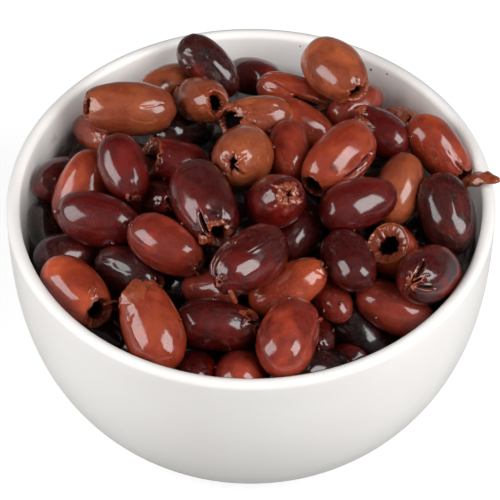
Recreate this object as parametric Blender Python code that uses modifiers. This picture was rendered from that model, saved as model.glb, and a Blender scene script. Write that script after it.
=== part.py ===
"""A dish of olives: a white bowl, and the heap of pitted olives that rests in it.

Metres, +Z up. The origin is the centre of the bowl's foot, on the surface that it stands on.
The bowl is one turned wall. The heap is one solid: a core that fills the bowl, with every olive
that shows fused on at its true size.
"""

import math
from collections import namedtuple

import bmesh
import bpy
from mathutils import Matrix, Vector

MM = 0.001
FLAT = 1e-5  # below this a number counts as none

# The bowl
RIM_RADIUS = 70 * MM
BOWL_HEIGHT = 72.5 * MM
WALL = 3.8 * MM
FLOOR = 6 * MM
CURVE_DEPTH = 79 * MM  # depth below the lip's middle at which the outer curve would close
FULLNESS = 2.78  # exponent of the wall's curve: 2 is an ellipse, more is squarer
FOOT_EDGE = 1 * MM  # height of the small round where the wall meets the foot
FOOT_RING = 5.5 * MM  # width of the flat ring that the bowl stands on
FOOT_RECESS = 1.5 * MM
LIP_MIDDLE = BOWL_HEIGHT - WALL / 2
BOWL_STEPS = 60
WALL_POINTS = 8
LIP_POINTS = 4

# The heap
WALL_GAP = 0.5 * MM  # between the heap and the bowl
CORE_TOP = -16 * MM  # the core's top between the olives at the middle, from the rim
CORE_FALL = 15 * MM  # how much lower the core's top is at the wall
CORE_RINGS = 18
CORE_SEGMENTS = 32
CORE_EDGE = -0.4  # where the core's edge lies between its top, at 1, and its bottom, at -1
BED_DEPTH = 0.15  # how far under an olive's middle the core rises to, in widths
BED_REACH = 0.60  # how far round an olive's middle the core still rises, in widths
OLIVE_SEGMENTS = 10
OLIVE_RINGS = 8
PLUMPNESS = 2.3  # exponent of an olive's outline along its length
NARROWING = 0.07  # how much slimmer the front half is than the back half
HOLE_RADIUS = 0.19  # of a pit hole, in widths
HOLE_DEPTH = 0.45
STAR_DEPTH = 0.14  # of the dimple where the pit was pushed out
TORN_DEPTH = 0.30

# One row for each olive that shows: its middle from the bowl's axis and above the rim (mm), the
# heading and rise of its front end (degrees), its length and width (mm), and its front end.
Olive = namedtuple("Olive", "x y lift heading rise length width end")
OLIVES = [
    # the back row, along the far wall
    Olive(-12.5, 51, 2, -35, -30, 22.5, 13, "whole"),
    Olive(-25, 49.5, -5, 40, -5, 20, 12.5, "whole"),
    Olive(-36, 32, 3.5, 180, 5, 27.5, 16, "torn"),
    Olive(-14.5, 37, 1.5, -55, 35, 24, 13.5, "hole"),
    Olive(1, 28, 3.5, -175, -5, 22, 12.5, "torn"),
    Olive(1, 56, -7.5, -35, 20, 20, 11.5, "whole"),
    Olive(13, 44.5, -3.5, -15, -10, 23, 11.5, "torn"),
    Olive(25, 45.5, 5.5, -60, 5, 25, 16, "hole"),
    Olive(31, 41.5, -6, 40, 0, 20, 11.5, "whole"),
    Olive(44.5, 39.5, -11, -55, 30, 20, 10.5, "torn"),
    # the middle of the heap
    Olive(-2.5, 8.5, 7.5, -105, 35, 25, 17.5, "star"),
    Olive(11, 15.5, 2.5, -85, -5, 20, 12, "whole"),
    Olive(15.5, 32, -4, -25, -20, 21, 12.5, "whole"),
    Olive(25, 9, 6, -130, -10, 26.5, 16.5, "hole"),
    Olive(37.5, 25, 0.5, 135, 0, 20.5, 13, "torn"),
    Olive(7, -9, 7.5, -60, 55, 24, 16, "star"),
    Olive(30.5, -7.5, 5, 25, 0, 23.5, 14.5, "whole"),
    Olive(42.5, 4.5, -1.5, 70, 25, 22, 14, "whole"),
    Olive(14, -9.5, -5, 60, 10, 20, 12, "whole"),
    Olive(-13, -10, 8, -70, -5, 28, 17.5, "torn"),
    Olive(-22.5, 14.5, -1, 170, 10, 22, 13.5, "torn"),
    Olive(-20, 37, -11.5, 30, -20, 20, 12, "whole"),
    Olive(-27.5, 4.5, -6, -50, 35, 20, 11.5, "torn"),
    Olive(-24, -20.5, 2, -35, -5, 24, 15, "torn"),
    Olive(-0.5, -32.5, 9, -130, 10, 26.5, 16.5, "torn"),
    # the left side
    Olive(-45.5, 33.5, -9, -55, 20, 20, 10.5, "torn"),
    Olive(-36.5, 8, 3.5, -70, -15, 21.5, 13.5, "torn"),
    Olive(-49, 8.5, -6.5, 65, 40, 24.5, 14.5, "whole"),
    Olive(-56, 18, -12, 45, -15, 20, 12.5, "whole"),
    Olive(-59, 3.5, -18, -75, -5, 20, 11.5, "whole"),
    Olive(-43.5, -7, -2, -20, 0, 24.5, 15.5, "whole"),
    Olive(-52, -10, -14, 15, -10, 21, 13, "whole"),
    Olive(-34.5, -21, -9, -35, 5, 22, 13.5, "hole"),
    Olive(-49, -30, -7, -50, -5, 25, 15.5, "hole"),
    Olive(-22.5, -19.5, -17, -30, 30, 20.5, 13, "whole"),
    Olive(-40.5, -35, -20, -45, 0, 22, 13.5, "whole"),
    # the right side
    Olive(55, 19, -1, -45, -30, 25, 13.5, "hole"),
    Olive(56, -4, -3, -75, -25, 24.5, 15.5, "whole"),
    Olive(50.5, 0, -15, 65, -5, 20.5, 13, "whole"),
    Olive(40, -18, -3.5, -130, 65, 22, 14.5, "hole"),
    Olive(49.5, -30, 0.5, -120, 30, 24, 16, "star"),
    Olive(40.5, -34, -10, -20, -15, 23, 14, "whole"),
    # the front, along the near wall
    Olive(27.5, -25.5, 1, -70, 10, 22.5, 14, "whole"),
    Olive(22, -30.5, -8.5, -65, 5, 20, 10.5, "whole"),
    Olive(10.5, -32.5, -2, 20, 20, 24, 13, "star"),
    Olive(30.5, -37.5, -17, -45, -25, 23, 13, "whole"),
    Olive(18.5, -39.5, -14, -80, 25, 20, 10, "whole"),
    Olive(19, -52, -15.5, 35, -20, 20, 12.5, "whole"),
    Olive(10.5, -51.5, -1, 75, -5, 26.5, 16.5, "whole"),
    Olive(-11, -30, -5.5, -40, 30, 20, 11, "whole"),
    Olive(-9, -44, -5, -5, -5, 24, 14.5, "hole"),
    Olive(-3, -55.5, -12.5, 90, -40, 24, 14, "whole"),
    Olive(-15.5, -52.5, -14, 90, -35, 24, 11.5, "whole"),
    Olive(-27.5, -47.5, -1, 110, 20, 27.5, 17, "torn"),
]

# Olives low against the near wall, which the rim hides from the front and which show from above.
LOW_RING_RADIUS = 52 * MM
LOW_RING_LIFT = -21 * MM
LOW_RING_FROM = -150  # degrees
LOW_RING_STEP = 24
LOW_RING_COUNT = 6
LOW_RING_SIZE = (22 * MM, 13 * MM)


def clear_scene():
    for thing in list(bpy.data.objects):
        bpy.data.objects.remove(thing, do_unlink=True)


def new_collection(name):
    made = bpy.data.collections.new(name)
    bpy.context.scene.collection.children.link(made)
    return made


def new_object(name, mesh, collection):
    made = bpy.data.objects.new(name, mesh)
    collection.objects.link(made)
    return made


def finish_material(name, colour, roughness):
    material = bpy.data.materials.new(name)
    material.use_nodes = True
    shader = material.node_tree.nodes["Principled BSDF"]
    shader.inputs["Base Color"].default_value = (*colour, 1)
    shader.inputs["Roughness"].default_value = roughness
    shader.inputs["Metallic"].default_value = 0
    return material


def curve_radius(radius, depth, height):
    """Radius at a height of a curve that is upright at the lip's middle and closes at `depth` below it."""
    down = min(max((LIP_MIDDLE - height) / depth, 0), 1)
    return radius * (1 - down**FULLNESS) ** (1 / FULLNESS)


def outer_radius(height):
    return curve_radius(RIM_RADIUS, CURVE_DEPTH, height)


def inner_radius(height):
    return curve_radius(RIM_RADIUS - WALL, LIP_MIDDLE - FLOOR, height)


def spaced_heights(top, bottom, count):
    """Heights from top to bottom that close up towards the bottom, where the wall turns in."""
    turns = [math.radians(90) * step / count for step in range(count + 1)]
    return [top - (top - bottom) * math.sin(turn) for turn in turns]


def bowl_profile():
    """The cut through the wall: up the inside, over the lip, down the outside and under the foot."""
    lip = WALL / 2
    inside = [(inner_radius(z), z) for z in spaced_heights(LIP_MIDDLE, FLOOR, WALL_POINTS)]
    inside[-1] = (0, FLOOR)
    inside.reverse()
    over = []
    for step in range(1, LIP_POINTS):
        turn = math.pi * step / LIP_POINTS
        over.append((RIM_RADIUS - lip - lip * math.cos(turn), LIP_MIDDLE + lip * math.sin(turn)))
    outside = [(outer_radius(z), z) for z in spaced_heights(LIP_MIDDLE, FOOT_EDGE, WALL_POINTS)]
    foot = outer_radius(FOOT_EDGE) - FOOT_EDGE
    hollow = foot - FOOT_RING
    under = [(foot, 0), (hollow, 0), (hollow - FOOT_RECESS, FOOT_RECESS), (0, FOOT_RECESS)]
    return inside + over + outside + under


def make_bowl(collection):
    mesh = bpy.data.meshes.new("bowl")
    points = bowl_profile()
    edges = [(index, index + 1) for index in range(len(points) - 1)]
    mesh.from_pydata([(x, 0, z) for x, z in points], edges, [])
    bowl = new_object("bowl", mesh, collection)
    turn = bowl.modifiers.new("turn", "SCREW")
    turn.axis = "Z"
    turn.angle = math.tau
    turn.steps = BOWL_STEPS
    turn.render_steps = BOWL_STEPS
    turn.use_merge_vertices = True
    turn.merge_threshold = 0.00005
    turn.use_smooth_shade = True
    bowl.data.materials.append(finish_material("white glaze", (0.86, 0.84, 0.81), 0.3))
    return bowl


def keep_inside(point):
    """Moves a point that would reach the bowl back to the gap before its wall and floor."""
    point.z = max(point.z, FLOOR + WALL_GAP)
    most = max(inner_radius(point.z - WALL_GAP) - WALL_GAP, 0)
    away = math.hypot(point.x, point.y)
    if away > most and away > 0:
        point.x *= most / away
        point.y *= most / away
    return point


def olive_point(unit, length, width, end):
    """Where a point of the unit ball lies on an olive that points along +Z."""
    along = unit.z
    across = math.hypot(unit.x, unit.y)
    swell = (1 - abs(along) ** PLUMPNESS) ** (1 / PLUMPNESS) if across > FLAT else 0
    swell *= 1 - NARROWING * along
    outer_ring = math.cos(math.pi / OLIVE_RINGS)
    reach = along * length / 2
    if end == "hole" and 0 < across < 0.5 and along > 0:
        swell = 2 * HOLE_RADIUS
        reach = outer_ring * length / 2
    if across < FLAT and along > 0:
        sunk = {"whole": 0, "hole": HOLE_DEPTH, "star": STAR_DEPTH, "torn": TORN_DEPTH}[end]
        reach -= sunk * width
    turn = math.atan2(unit.y, unit.x)
    return Vector((swell * width / 2 * math.cos(turn), swell * width / 2 * math.sin(turn), reach))


def make_olive(name, middle, heading, rise, length, width, end, collection):
    shape = bmesh.new()
    bmesh.ops.create_uvsphere(shape, u_segments=OLIVE_SEGMENTS, v_segments=OLIVE_RINGS, radius=1)
    lay = Matrix.Rotation(math.radians(heading), 4, "Z") @ Matrix.Rotation(math.radians(90 - rise), 4, "Y")
    for vert in shape.verts:
        placed = middle + lay @ olive_point(vert.co.copy(), length, width, end)
        vert.co = keep_inside(placed)
    mesh = bpy.data.meshes.new(name)
    shape.to_mesh(mesh)
    shape.free()
    return new_object(name, mesh, collection)


def core_height(x, y):
    """Top of the core: a low dome that rises to a bed under each olive."""
    away = math.hypot(x, y) / (RIM_RADIUS - WALL)
    dome = BOWL_HEIGHT + CORE_TOP - CORE_FALL * away**2
    level = dome
    for olive in OLIVES:
        width = olive.width * MM
        aside = math.hypot(x - olive.x * MM, y - olive.y * MM) / (BED_REACH * width)
        if aside < 1:
            bed = BOWL_HEIGHT + olive.lift * MM - BED_DEPTH * width
            level = max(level, dome + (bed - dome) * (1 - aside**2))
    return level


def make_core(collection):
    """A ball whose lower part is pressed out to the bowl and whose upper part is the bed of olives."""
    shape = bmesh.new()
    bmesh.ops.create_uvsphere(shape, u_segments=CORE_SEGMENTS, v_segments=CORE_RINGS, radius=1)
    edge_height = BOWL_HEIGHT + CORE_TOP - CORE_FALL
    edge = inner_radius(edge_height) - 2 * WALL_GAP
    for vert in shape.verts:
        turn = math.atan2(vert.co.y, vert.co.x)
        steepness = math.asin(min(max(vert.co.z, -1), 1)) / math.radians(90)
        if steepness > CORE_EDGE - FLAT:
            away = edge * (1 - steepness) / (1 - CORE_EDGE)
            height = core_height(away * math.cos(turn), away * math.sin(turn))
        elif steepness > FLAT - 1:
            below = (CORE_EDGE - steepness) / (1 + CORE_EDGE)
            height = edge_height - (edge_height - FLOOR) * math.sin(math.radians(90) * below)
            away = inner_radius(height)
        else:
            height = FLOOR
            away = 0
        vert.co = keep_inside(Vector((away * math.cos(turn), away * math.sin(turn), height)))
    mesh = bpy.data.meshes.new("olives")
    shape.to_mesh(mesh)
    shape.free()
    return new_object("olives", mesh, collection)


def keep_largest_shell(mesh):
    """Drops loose scraps and the skins of sealed hollows, so that one outer skin is left."""
    shape = bmesh.new()
    shape.from_mesh(mesh)
    left = set(shape.verts)
    shells = []
    while left:
        shell = {left.pop()}
        front = list(shell)
        while front:
            for edge in front.pop().link_edges:
                for vert in edge.verts:
                    if vert in left:
                        left.remove(vert)
                        shell.add(vert)
                        front.append(vert)
        shells.append(shell)
    shells.sort(key=len)
    for shell in shells[:-1]:
        bmesh.ops.delete(shape, geom=list(shell), context="VERTS")
    shape.to_mesh(mesh)
    shape.free()


def make_heap(collection):
    heap = make_core(collection)
    pieces = new_collection("olives to join")
    pieces.hide_render = True
    for number, row in enumerate(OLIVES, start=1):
        middle = Vector((row.x, row.y, row.lift)) * MM + Vector((0, 0, BOWL_HEIGHT))
        size = (row.length * MM, row.width * MM)
        make_olive(f"olive {number}", middle, row.heading, row.rise, *size, row.end, pieces)
    for step in range(LOW_RING_COUNT):
        turn = LOW_RING_FROM + LOW_RING_STEP * step
        away = LOW_RING_RADIUS
        flat = Vector((away * math.cos(math.radians(turn)), away * math.sin(math.radians(turn)), 0))
        middle = flat + Vector((0, 0, BOWL_HEIGHT + LOW_RING_LIFT))
        make_olive(f"low olive {step}", middle, turn + 90, 0, *LOW_RING_SIZE, "whole", pieces)
    join = heap.modifiers.new("join", "BOOLEAN")
    join.operation = "UNION"
    join.operand_type = "COLLECTION"
    join.collection = pieces
    join.solver = "EXACT"
    joined = bpy.data.meshes.new_from_object(heap.evaluated_get(bpy.context.evaluated_depsgraph_get()))
    heap.modifiers.remove(join)
    heap.data = joined
    for piece in list(pieces.objects):
        bpy.data.objects.remove(piece, do_unlink=True)
    bpy.data.collections.remove(pieces)
    keep_largest_shell(heap.data)
    heap.data.name = "olives"
    heap.data.materials.clear()
    heap.data.materials.append(finish_material("olive skin", (0.16, 0.035, 0.022), 0.25))
    return heap


def main():
    clear_scene()
    dish = new_collection("dish of olives")
    make_bowl(dish)
    make_heap(dish)


main()
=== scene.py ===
import math

import bpy
import numpy as np
from mathutils import Matrix, Vector


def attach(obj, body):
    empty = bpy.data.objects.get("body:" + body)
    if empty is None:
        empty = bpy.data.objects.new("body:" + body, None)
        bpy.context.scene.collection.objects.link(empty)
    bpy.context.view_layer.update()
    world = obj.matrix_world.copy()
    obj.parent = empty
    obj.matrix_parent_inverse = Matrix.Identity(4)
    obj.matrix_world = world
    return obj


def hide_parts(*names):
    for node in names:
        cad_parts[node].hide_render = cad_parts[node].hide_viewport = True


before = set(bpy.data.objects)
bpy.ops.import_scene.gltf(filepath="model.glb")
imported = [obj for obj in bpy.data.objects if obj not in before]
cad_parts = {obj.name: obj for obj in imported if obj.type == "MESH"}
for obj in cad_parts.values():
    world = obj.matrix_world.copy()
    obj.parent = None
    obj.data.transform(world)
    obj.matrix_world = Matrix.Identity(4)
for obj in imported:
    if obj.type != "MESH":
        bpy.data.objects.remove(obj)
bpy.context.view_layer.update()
print("frame loaded")

mm = 0.001


# small helpers

def smoothStep(low, high, value):
    part = np.clip((value - low) / (high - low), 0, 1)
    return part * part * (3 - 2 * part)


def latticeNoise(points, seed):
    # smooth random values from -1 to 1, one for each row of points, about one wave for each unit
    cell = np.floor(points).astype(np.int64)
    part = points - cell
    part = part * part * (3 - 2 * part)
    total = np.zeros(points.shape[:-1])
    for corner in np.ndindex(2, 2, 2):
        key = cell + np.array(corner)
        mixed = (key[..., 0] * 73856093) ^ (key[..., 1] * 19349663) ^ (key[..., 2] * 83492791)
        mixed = mixed ^ (seed * 668265263)
        mixed = (mixed ^ (mixed >> 13)) * 1274126177
        level = ((mixed ^ (mixed >> 16)) & 65535) / 32767.5 - 1
        weight = np.prod(np.where(np.array(corner) == 1, part, 1 - part), axis=-1)
        total += level * weight
    return total


def ringTurns(count):
    return np.linspace(0, math.tau, count, endpoint=False)


def ringPoints(turns, away, height):
    return np.stack([away * np.cos(turns), away * np.sin(turns), np.full(len(turns), height)], axis=-1)


def turnGap(turn, middle):
    # from one turn to another, the short way round
    return (turn - middle + math.pi) % math.tau - math.pi


def atTurn(turn, away, height):
    # a place by its turn round the bowl (degrees), distance from its axis and height
    angle = math.radians(turn)
    return away * math.cos(angle), away * math.sin(angle), height


def newPiece(name, verts, faces, edges=()):
    mesh = bpy.data.meshes.new(name)
    mesh.from_pydata(verts, edges, faces)
    mesh.shade_smooth()
    piece = bpy.data.objects.new(name, mesh)
    bpy.context.scene.collection.objects.link(piece)
    return piece


def finishPiece(piece, node):
    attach(piece, "root")
    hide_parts(node)


def setInputs(tree, node, inputs):
    # links the sockets and sets the plain values
    for key, value in inputs.items():
        if isinstance(value, bpy.types.NodeSocket):
            tree.links.new(value, node.inputs[key])
        else:
            node.inputs[key].default_value = value


def addNode(tree, kind, inputs=None, settings=None):
    node = tree.nodes.new(kind)
    for name, value in (settings or {}).items():
        setattr(node, name, value)
    setInputs(tree, node, inputs or {})
    return node


def addMath(tree, operation, first, second=0.0, clamp=False):
    settings = {"operation": operation, "use_clamp": clamp}
    return addNode(tree, "ShaderNodeMath", {0: first, 1: second}, settings).outputs[0]


def addTimes(tree, first, second, clamp=False):
    return addMath(tree, "MULTIPLY", first, second, clamp)


def addSum(tree, first, second, clamp=False):
    return addMath(tree, "ADD", first, second, clamp)


def addRange(tree, value, fromLow, fromHigh, toLow=0.0, toHigh=1.0):
    limits = {1: fromLow, 2: fromHigh, 3: toLow, 4: toHigh}
    return addNode(tree, "ShaderNodeMapRange", {0: value, **limits}).outputs[0]


def addMix(tree, amount, first, second, blend="MIX"):
    settings = {"data_type": "RGBA", "blend_type": blend, "clamp_factor": True}
    return addNode(tree, "ShaderNodeMix", {0: amount, 6: first, 7: second}, settings).outputs[2]


def addNoise(tree, place, scale, detail=2.0, roughness=0.5):
    inputs = {"Vector": place, "Scale": scale, "Detail": detail, "Roughness": roughness}
    return addNode(tree, "ShaderNodeTexNoise", inputs).outputs[0]


def addNoiseRange(tree, place, noise, limits):
    return addRange(tree, addNoise(tree, place, *noise), *limits)


def addBump(tree, height, strength, distance):
    inputs = {"Strength": strength, "Distance": distance, "Height": height}
    return addNode(tree, "ShaderNodeBump", inputs).outputs[0]


def addAttribute(tree, name):
    return addNode(tree, "ShaderNodeAttribute", settings={"attribute_name": name}).outputs


def newMaterial(name):
    material = bpy.data.materials.new(name)
    material.use_nodes = True
    tree = material.node_tree
    return material, tree, tree.nodes["Principled BSDF"]


def newTree(name, kind, inputs, outputs):
    tree = bpy.data.node_groups.new(name, kind)
    for label, (socketKind, value) in inputs.items():
        socket = tree.interface.new_socket(label, in_out="INPUT", socket_type="NodeSocket" + socketKind)
        if value is not None:
            socket.default_value = value
    for label, socketKind in outputs.items():
        tree.interface.new_socket(label, in_out="OUTPUT", socket_type="NodeSocket" + socketKind)
    return tree, tree.nodes.new("NodeGroupInput").outputs, tree.nodes.new("NodeGroupOutput").inputs


def newShapeTree(name, inputs):
    return newTree(name, "GeometryNodeTree", inputs, {"Shape": "Geometry"})


def leaveTree(tree, shape, material, leave):
    # makes copies real, gives the whole its material and ends the tree
    real = addNode(tree, "GeometryNodeRealizeInstances", {"Geometry": shape})
    painted = addNode(tree, "GeometryNodeSetMaterial", {"Geometry": real.outputs[0], "Material": material})
    tree.links.new(painted.outputs[0], leave[0])
    return tree


def growPiece(piece, tree, values):
    # runs a geometry tree on a piece, keeps the result as its plain mesh and removes the modifier
    modifier = piece.modifiers.new(tree.name, "NODES")
    modifier.node_group = tree
    for item in tree.interface.items_tree:
        if item.in_out == "INPUT" and item.name in values:
            modifier[item.identifier] = values[item.name]
    graph = bpy.context.evaluated_depsgraph_get()
    grown = bpy.data.meshes.new_from_object(piece.evaluated_get(graph))
    piece.modifiers.remove(modifier)
    piece.data = grown
    grown.name = piece.name


# the bowl

bowl = {
    "rimRadius": 70 * mm,
    "height": 72.5 * mm,
    "wall": 3.8 * mm,
    "floor": 6 * mm,
    "curveDepth": 79 * mm,  # below the lip's middle, where the outer curve would close
    "fullness": 2.78,  # 2 is an ellipse, more is squarer
    "footEdge": 1 * mm,
    "footRing": 5.5 * mm,
    "footRecess": 1.5 * mm,
    "wallPoints": 44,
    "lipPoints": 18,
    "turnSegments": 200,
}
bowl["lipMiddle"] = bowl["height"] - bowl["wall"] / 2


def curveRadius(radius, depth, height):
    down = np.clip((bowl["lipMiddle"] - height) / depth, 0, 1)
    return radius * (1 - down ** bowl["fullness"]) ** (1 / bowl["fullness"])


def outerRadius(height):
    return curveRadius(bowl["rimRadius"], bowl["curveDepth"], height)


def innerRadius(height):
    return curveRadius(bowl["rimRadius"] - bowl["wall"], bowl["lipMiddle"] - bowl["floor"], height)


def bowlProfile():
    # up the inside, over the lip, down the outside and under the foot
    lip = bowl["wall"] / 2
    turns = np.radians(np.linspace(0, 90, bowl["wallPoints"]))
    insideHeights = bowl["lipMiddle"] - (bowl["lipMiddle"] - bowl["floor"]) * np.sin(turns)
    inside = [(float(innerRadius(z)), float(z)) for z in insideHeights[:-1]] + [(0, bowl["floor"])]
    inside.reverse()
    over = []
    for turn in np.linspace(0, math.pi, bowl["lipPoints"])[1:-1]:
        middle = bowl["rimRadius"] - lip
        over.append((middle - lip * math.cos(turn), bowl["lipMiddle"] + lip * math.sin(turn)))
    outsideHeights = bowl["lipMiddle"] - (bowl["lipMiddle"] - bowl["footEdge"]) * np.sin(turns)
    outside = [(float(outerRadius(z)), float(z)) for z in outsideHeights]
    foot = outside[-1][0]
    edge = bowl["footEdge"]
    rounded = []
    for turn in np.radians([22, 45, 68, 90]):
        rounded.append((foot - edge * (1 - math.cos(turn)), edge * (1 - math.sin(turn))))
    hollow = foot - edge - bowl["footRing"]
    recess = bowl["footRecess"]
    under = [(hollow, 0), (hollow - recess * 0.3, recess * 0.25), (hollow - recess, recess * 0.9)]
    under += [(hollow - 1.6 * recess, recess), (0, recess)]
    return inside + over + outside + rounded + under


def latheTree():
    # sweeps a profile round a circle at the rim's radius
    inputs = {
        "Profile": ("Geometry", None),
        "Rim Radius": ("Float", 0.07),
        "Turn Segments": ("Int", 100),
        "Seam Gap": ("Float", 0.00001),
        "Glaze": ("Material", None),
    }
    tree, enter, leave = newShapeTree("turn on the wheel", inputs)
    profile = addNode(tree, "GeometryNodeMeshToCurve", {"Mesh": enter["Profile"]}).outputs[0]
    circle = {"Resolution": enter["Turn Segments"], "Radius": enter["Rim Radius"]}
    path = addNode(tree, "GeometryNodeCurvePrimitiveCircle", circle).outputs["Curve"]
    upright = addNode(tree, "GeometryNodeSetCurveNormal", {"Curve": path}).outputs[0]
    swept = addNode(tree, "GeometryNodeCurveToMesh", {"Curve": upright, "Profile Curve": profile}).outputs[0]
    closing = {"Geometry": swept, "Distance": enter["Seam Gap"]}
    closed = addNode(tree, "GeometryNodeMergeByDistance", closing).outputs[0]
    smooth = addNode(tree, "GeometryNodeSetShadeSmooth", {0: closed}).outputs[0]
    return leaveTree(tree, smooth, enter["Glaze"], leave)


glaze = {
    "tones": ((0.735, 0.712, 0.69, 1), (0.765, 0.745, 0.725, 1)),
    "speck": (0.42, 0.34, 0.26, 1),
    # painted shadow tone for the inner wall
    "film": (0.16, 0.085, 0.07, 1),
    "smear": (0.5, 0.26, 0.2, 1),
    # painted shade, near black, low on the inner wall
    "brine": (0.022, 0.01, 0.009, 1),
}


def bowlGlaze():
    material, tree, shader = newMaterial("whiteGlaze")
    place = addNode(tree, "ShaderNodeTexCoord").outputs["Object"]
    film = addAttribute(tree, "paintedWallShadeAndSmear")["Color"]
    paintedShadowMask, smeared, sunk = addNode(tree, "ShaderNodeSeparateColor", {0: film}).outputs
    specks = addNoiseRange(tree, place, (1500, 1), (0.74, 0.77))
    rare = addNoiseRange(tree, place, (60, 0), (0.6, 0.64))
    blotch = addNoiseRange(tree, place, (160, 4, 0.6), (0.3, 0.7, 0.75, 1.1))
    streaks = addNoiseRange(tree, place, (420, 3), (0.42, 0.62))
    tone = addMix(tree, addNoiseRange(tree, place, (28, 3), (0.35, 0.65)), *glaze["tones"])
    tone = addMix(tree, addTimes(tree, addTimes(tree, specks, rare), 0.3), tone, glaze["speck"])
    # painted shadow: the film tone darkens the inner wall where the olives shade it
    tone = addMix(tree, addTimes(tree, paintedShadowMask, blotch, True), tone, glaze["film"])
    tone = addMix(tree, addTimes(tree, smeared, streaks, True), tone, glaze["smear"])
    # painted shade: the wall goes near black low down between the olives and the wall
    tone = addMix(tree, addTimes(tree, sunk, blotch, True), tone, glaze["brine"])
    rough = addNoiseRange(tree, place, (120, 2), (0.3, 0.7, 0.3, 0.38))
    setInputs(tree, shader, {
        "Base Color": tone,
        "Roughness": addSum(tree, rough, addTimes(tree, sunk, 0.4)),
        "Normal": addBump(tree, addNoise(tree, place, 70, 2), 0.08, 0.0004),
        "IOR": 1.38,
        "Coat Weight": addMath(tree, "SUBTRACT", 0.2, addTimes(tree, sunk, 0.2), True),
        "Coat Roughness": 0.2,
    })
    return material


# Painted shadows on the inner wall, in a thin brownish film tone that darkens further down: turn round the
# bowl's axis from its right (degrees), how far round it reaches, and how strong it is.
paintedWallShadows = [(48, 20, 0.95), (143, 10, 0.6), (20, 10, 0.4), (172, 22, 0.3)]
# Painted shade between the olives and the wall: turn, and how far below the rim (mm) the wall gets dark.
wallShadeLevel = [
    (0, -14), (50, -14), (85, -10), (125, -10), (143, -8),
    (158, -12), (172, -18), (200, -18), (270, -16), (360, -14),
]
# a reddish smear: turn, height above the rim, half length and half height (mm)
smearPlace = {"turn": 152, "lift": -10, "reach": 2.6, "tall": 1.4}


def paintedWallShadeAndSmear(places):
    # red: how strong the painted shadow is; green: the smear; blue: the painted shade low on the wall
    x, y, z = places.T
    lift = (z - bowl["height"]) / mm
    inside = smoothStep(1.5 * mm, 0.5 * mm, np.abs(np.hypot(x, y) - innerRadius(z))) * (z < bowl["lipMiddle"])
    turn = np.arctan2(y, x)
    around = np.zeros(len(x))
    for middle, spread, strength in paintedWallShadows:
        gap = turnGap(turn, math.radians(middle))
        around = np.maximum(around, strength * np.exp(-(gap / math.radians(spread)) ** 2))
    wave = 2.0 * latticeNoise(np.stack([x * 90, y * 90, z * 0], axis=-1), 61)
    down = smoothStep(-2, -17, lift + wave)
    along = turnGap(turn, math.radians(smearPlace["turn"])) * bowl["rimRadius"] / mm / smearPlace["reach"]
    smear = np.exp(-(along ** 2 + ((lift - smearPlace["lift"]) / smearPlace["tall"]) ** 2))
    level = np.interp(np.degrees(turn) % 360, *zip(*wallShadeLevel))
    low = smoothStep(0, -7, lift - level + wave * 0.6)
    return np.stack([inside * around * down, inside * smear, inside * low, np.ones(len(x))], axis=-1)


def meshPlaces(mesh):
    places = np.empty(len(mesh.vertices) * 3)
    mesh.vertices.foreach_get("co", places)
    return places.reshape(-1, 3)


def makeBowl():
    points = [(radius - bowl["rimRadius"], -height, 0) for radius, height in bowlProfile()]
    piece = newPiece("bowlShell", points, [], [(index, index + 1) for index in range(len(points) - 1)])
    values = {"Rim Radius": bowl["rimRadius"], "Turn Segments": bowl["turnSegments"], "Glaze": bowlGlaze()}
    growPiece(piece, latheTree(), values)
    storeValues(piece.data, "paintedWallShadeAndSmear", "FLOAT_COLOR", paintedWallShadeAndSmear(meshPlaces(piece.data)))
    finishPiece(piece, "bowl")
    return piece


# the olives

olives = {
    "plumpness": 2.3,  # exponent of the outline along the length
    "narrowing": 0.07,
    "around": {"plain": 64, "open": 96, "slit": 150},  # columns of the mesh, by what the olive shows
    "bodyRings": 52,
    "rollRings": 4,
    "cavityRings": 12,
    "wallGap": 0.5 * mm,
    "squeeze": 0.3 * mm,  # gap left between two olives that press on each other
}

# skin colours of the kinds, as the light shows them: the main tone and the stain that drifts over it
skinTones = {
    "tan": ((0.43, 0.1, 0.034), (0.27, 0.05, 0.018)),
    "orange": ((0.45, 0.068, 0.021), (0.28, 0.03, 0.01)),
    "brick": ((0.39, 0.048, 0.021), (0.21, 0.02, 0.01)),
    "red": ((0.2, 0.01, 0.006), (0.1, 0.005, 0.004)),
    "maroon": ((0.16, 0.007, 0.004), (0.065, 0.004, 0.003)),
    "plum": ((0.15, 0.008, 0.004), (0.045, 0.004, 0.003)),
    "black": ((0.045, 0.006, 0.0045), (0.014, 0.002, 0.002)),
}

# The front ends, in half widths: the rim of the opening and the inner hole, how far in the hole lies and
# how deep it is, how uneven the rim is, how far it rolls in, and how far round it the skin is rubbed off and
# lumpy. Some are flatter than round, with the long side turned from the top, cut aslant towards a turn, have
# splits that run out from them, or have ribs or smoother raw flesh in the hollow.
frontEnds = {
    "hole": dict(rim=0.4, inner=0.32, sink=0.1, deep=1.2, ragged=0.1, roll=0.06, rubbed=0.04),
    "star": dict(rim=0.13, inner=0.11, sink=0.08, deep=0.7, ragged=0.35, roll=0.05, rubbed=0.14, splits=5,
        reach=0.42, lumpy=0.06),
    "torn": dict(rim=0.4, inner=0.3, sink=0.16, deep=0.9, ragged=0.25, roll=0.05, rubbed=0.08, lumpy=0.06),
    "wide": dict(rim=0.8, inner=0.4, sink=0.26, deep=1.2, ragged=0.08, roll=0.05, rubbed=0.02),
}

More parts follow.
